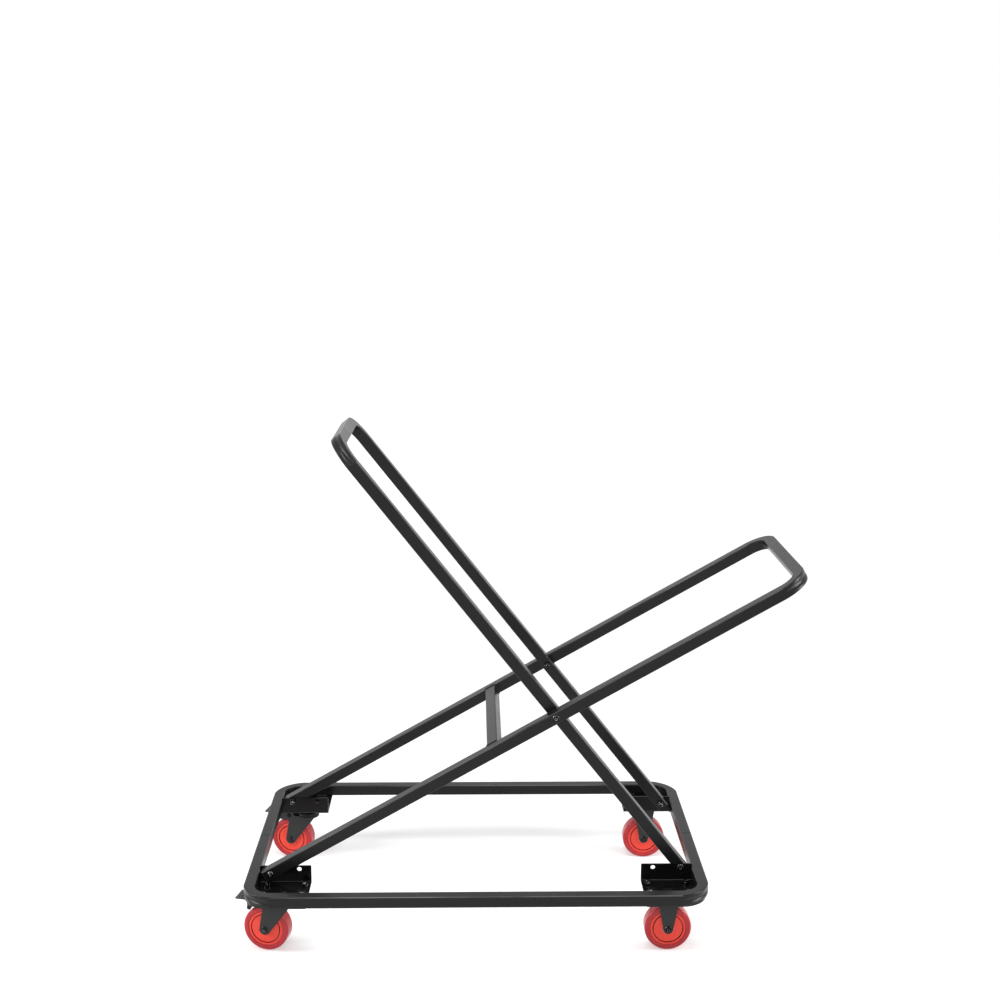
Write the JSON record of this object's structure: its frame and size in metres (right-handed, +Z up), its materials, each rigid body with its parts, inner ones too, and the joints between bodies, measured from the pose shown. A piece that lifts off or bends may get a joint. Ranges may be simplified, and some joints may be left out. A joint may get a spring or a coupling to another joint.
{
  "type": "stacking chair trolley",
  "caption": "Stacking chair trolley: tube base on swivel and rigid casters, with a handle frame and a back frame crossed and bolted as an X.",
  "frame": {"origin": "floor level, at the centre of the trolley's overall box", "axes": "+X along the base towards the handle, +Y across it to the rear, +Z up"},
  "size_m": [1.2274, 0.63, 1.1139],
  "materials": {
    "frame_paint": "satin black powder coat",
    "sheet_paint": "satin black coating on pressed sheet",
    "bracket_paint": "deep black gloss coating",
    "dark_bolt": "black oxide, slightly shiny",
    "zinc_steel": "zinc plated",
    "black_plastic": "matt moulded",
    "core_plastic": "bright orange red, moulded",
    "tread_urethane": "translucent dark red polyurethane"
  },
  "bodies": {
    "trolley": {"base_front_tube": "frame_paint", "base_rear_tube": "frame_paint", "base_joint_sleeves": "zinc_steel", "front_left_bracket": "bracket_paint", "front_right_bracket": "bracket_paint", "rear_left_bracket": "bracket_paint", "rear_right_bracket": "bracket_paint", "handle_frame": "frame_paint", "handle_cross_bar": "frame_paint", "back_frame": "frame_paint", "handle_end_caps": "black_plastic", "back_end_caps": "black_plastic", "pivot_bolts": "dark_bolt", "pivot_nuts": "dark_bolt", "pivot_spacers": "black_plastic", "bracket_bolts": "dark_bolt", "bracket_nuts": "dark_bolt", "caster_bolts": "dark_bolt", "caster_nuts": "dark_bolt", "front_left_caster_plate": "bracket_paint", "front_left_swivel_balls": "zinc_steel", "front_left_kingpin": "zinc_steel", "rear_left_caster_plate": "bracket_paint", "rear_left_swivel_balls": "zinc_steel", "rear_left_kingpin": "zinc_steel", "front_right_fork": "sheet_paint", "front_right_axle_bolt": "dark_bolt", "front_right_axle_nut": "dark_bolt", "front_right_axle_sleeve": "zinc_steel", "rear_right_fork": "sheet_paint", "rear_right_axle_bolt": "dark_bolt", "rear_right_axle_nut": "dark_bolt", "rear_right_axle_sleeve": "zinc_steel"},
    "front_left_swivel": {"front_left_fork": "sheet_paint", "front_left_axle_bolt": "dark_bolt", "front_left_axle_nut": "dark_bolt", "front_left_axle_sleeve": "zinc_steel", "front_left_brake_pin": "zinc_steel"},
    "front_left_wheel": {"front_left_wheel_bushes": "zinc_steel", "front_left_wheel_core": "core_plastic", "front_left_tread": "tread_urethane"},
    "front_left_brake": {"front_left_brake_pedal": "sheet_paint", "front_left_brake_shoe": "black_plastic"},
    "rear_left_swivel": {"rear_left_fork": "sheet_paint", "rear_left_axle_bolt": "dark_bolt", "rear_left_axle_nut": "dark_bolt", "rear_left_axle_sleeve": "zinc_steel", "rear_left_brake_pin": "zinc_steel"},
    "rear_left_wheel": {"rear_left_wheel_bushes": "zinc_steel", "rear_left_wheel_core": "core_plastic", "rear_left_tread": "tread_urethane"},
    "rear_left_brake": {"rear_left_brake_pedal": "sheet_paint", "rear_left_brake_shoe": "black_plastic"},
    "front_right_wheel": {"front_right_wheel_bushes": "zinc_steel", "front_right_wheel_core": "core_plastic", "front_right_tread": "tread_urethane"},
    "rear_right_wheel": {"rear_right_wheel_bushes": "zinc_steel", "rear_right_wheel_core": "core_plastic", "rear_right_tread": "tread_urethane"}
  },
  "joints": [
    {"name": "front_left_swivel_turn", "type": "hinge", "parent": "trolley", "child": "front_left_swivel", "pos_m": [-0.50657, -0.2313, 0.1125], "axis": [0, 0, 1], "continuous": true},
    {"name": "front_left_wheel_spin", "type": "hinge", "parent": "front_left_swivel", "child": "front_left_wheel", "pos_m": [-0.54441, -0.22187, 0.0508], "axis": [0.2419, 0.9703, 0], "continuous": true},
    {"name": "front_left_brake_press", "type": "hinge", "parent": "front_left_swivel", "child": "front_left_brake", "pos_m": [-0.57449, -0.21436, 0.1095], "axis": [-0.2419, -0.9703, 0], "range_deg": [0, 20]},
    {"name": "rear_left_swivel_turn", "type": "hinge", "parent": "trolley", "child": "rear_left_swivel", "pos_m": [-0.50657, 0.2313, 0.1125], "axis": [0, 0, 1], "continuous": true},
    {"name": "rear_left_wheel_spin", "type": "hinge", "parent": "rear_left_swivel", "child": "rear_left_wheel", "pos_m": [-0.54441, 0.24074, 0.0508], "axis": [0.2419, 0.9703, 0], "continuous": true},
    {"name": "rear_left_brake_press", "type": "hinge", "parent": "rear_left_swivel", "child": "rear_left_brake", "pos_m": [-0.57449, 0.24824, 0.1095], "axis": [-0.2419, -0.9703, 0], "range_deg": [0, 20]},
    {"name": "front_right_wheel_spin", "type": "hinge", "parent": "trolley", "child": "front_right_wheel", "pos_m": [0.32203, -0.2313, 0.0508], "axis": [0, 1, 0], "continuous": true},
    {"name": "rear_right_wheel_spin", "type": "hinge", "parent": "trolley", "child": "rear_right_wheel", "pos_m": [0.32203, 0.2313, 0.0508], "axis": [0, 1, 0], "continuous": true}
  ]
}
